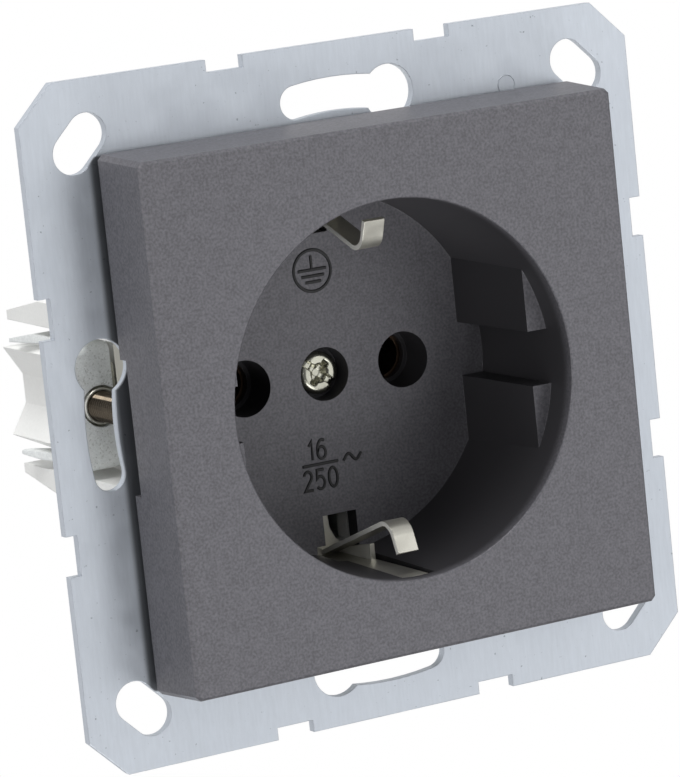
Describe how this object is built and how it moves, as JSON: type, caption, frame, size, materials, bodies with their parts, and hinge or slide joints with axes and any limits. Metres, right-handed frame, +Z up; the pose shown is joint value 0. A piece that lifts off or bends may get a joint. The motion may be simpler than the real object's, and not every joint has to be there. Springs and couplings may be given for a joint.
{
  "type": "type f wall socket",
  "caption": "Flush wall socket for round-pin plugs with side earth contacts, a square centre plate, a round recess, a steel support ring and spreading claws.",
  "frame": {"origin": "on the socket's axis, in the plane of the support ring's back face", "axes": "+X to the right seen from the room, +Y into the wall, +Z up"},
  "size_m": [0.071, 0.0437, 0.071],
  "materials": {
    "cover_plastic": "satin anthracite thermoplastic",
    "zinc_sheet": "galvanised sheet steel",
    "rivet_steel": "plain",
    "screw_steel": "zinc plated",
    "bush_brass": "turned",
    "base_plastic": "white thermoplastic",
    "rear_plastic": "white thermoplastic",
    "tinned_strip": "tinned strip",
    "contact_copper": "copper alloy strip",
    "spring_steel": "stainless spring strip",
    "pusher_plastic": "light grey thermoplastic",
    "claw_zinc": "stippled zinc plating"
  },
  "bodies": {
    "socket": {"support_ring": "zinc_sheet", "ring_rivets": "rivet_steel", "centre_plate": "cover_plastic", "centre_screw": "screw_steel", "centre_bush": "bush_brass", "socket_base": "base_plastic", "rear_cover": "rear_plastic", "earth_bracket": "tinned_strip", "phase_contact": "contact_copper", "neutral_contact": "contact_copper", "clamp_spring_1": "spring_steel", "clamp_spring_2": "spring_steel", "clamp_spring_3": "spring_steel", "clamp_spring_4": "spring_steel", "clamp_spring_5": "spring_steel", "clamp_spring_6": "spring_steel"},
    "release_pusher_neutral": {"release_pusher_neutral": "pusher_plastic"},
    "release_pusher_earth": {"release_pusher_earth": "pusher_plastic"},
    "release_pusher_phase": {"release_pusher_phase": "pusher_plastic"},
    "claw_screw_left": {"claw_screw_left": "screw_steel"},
    "claw_nut_left": {"claw_nut_left": "claw_zinc"},
    "claw_left": {"claw_left": "claw_zinc"},
    "claw_screw_right": {"claw_screw_right": "screw_steel"},
    "claw_nut_right": {"claw_nut_right": "claw_zinc"},
    "claw_right": {"claw_right": "claw_zinc"}
  },
  "joints": [
    {"name": "release_pusher_neutral_press", "type": "slide", "parent": "socket", "child": "release_pusher_neutral", "axis": [0, -1, 0], "range_m": [0, 0.002], "stiffness_N_per_m": 1200, "springref_m": -0.001, "deforming": ["clamp_spring_1", "clamp_spring_2"]},
    {"name": "release_pusher_earth_press", "type": "slide", "parent": "socket", "child": "release_pusher_earth", "axis": [0, -1, 0], "range_m": [0, 0.002], "stiffness_N_per_m": 1200, "springref_m": -0.001, "deforming": ["clamp_spring_3", "clamp_spring_4"]},
    {"name": "release_pusher_phase_press", "type": "slide", "parent": "socket", "child": "release_pusher_phase", "axis": [0, -1, 0], "range_m": [0, 0.002], "stiffness_N_per_m": 1200, "springref_m": -0.001, "deforming": ["clamp_spring_5", "clamp_spring_6"]},
    {"name": "claw_screw_left_turn", "type": "hinge", "parent": "socket", "child": "claw_screw_left", "pos_m": [-0.0234, 0, 0], "axis": [0, 1, 0], "range_deg": [0, 4320]},
    {"name": "claw_nut_left_slide", "type": "slide", "parent": "socket", "child": "claw_nut_left", "axis": [0, -1, 0], "range_m": [0, 0.006]},
    {"name": "claw_left_swing", "type": "hinge", "parent": "claw_nut_left", "child": "claw_left", "pos_m": [-0.0223, 0.01378, 0], "axis": [0, 0, 1], "range_deg": [0, 20]},
    {"name": "claw_screw_right_turn", "type": "hinge", "parent": "socket", "child": "claw_screw_right", "pos_m": [0.0234, 0, 0], "axis": [0, 1, 0], "range_deg": [0, 4320]},
    {"name": "claw_nut_right_slide", "type": "slide", "parent": "socket", "child": "claw_nut_right", "axis": [0, -1, 0], "range_m": [0, 0.006]},
    {"name": "claw_right_swing", "type": "hinge", "parent": "claw_nut_right", "child": "claw_right", "pos_m": [0.0223, 0.01378, 0], "axis": [0, 0, -1], "range_deg": [0, 20]}
  ],
  "couplings": [
    {"joint": "claw_screw_left_turn", "follows": "claw_nut_left_slide", "rad_per_m": 12566},
    {"joint": "claw_left_swing", "follows": "claw_nut_left_slide", "rad_per_m": 58.177},
    {"joint": "claw_screw_right_turn", "follows": "claw_nut_right_slide", "rad_per_m": 12566},
    {"joint": "claw_right_swing", "follows": "claw_nut_right_slide", "rad_per_m": 58.177}
  ]
}
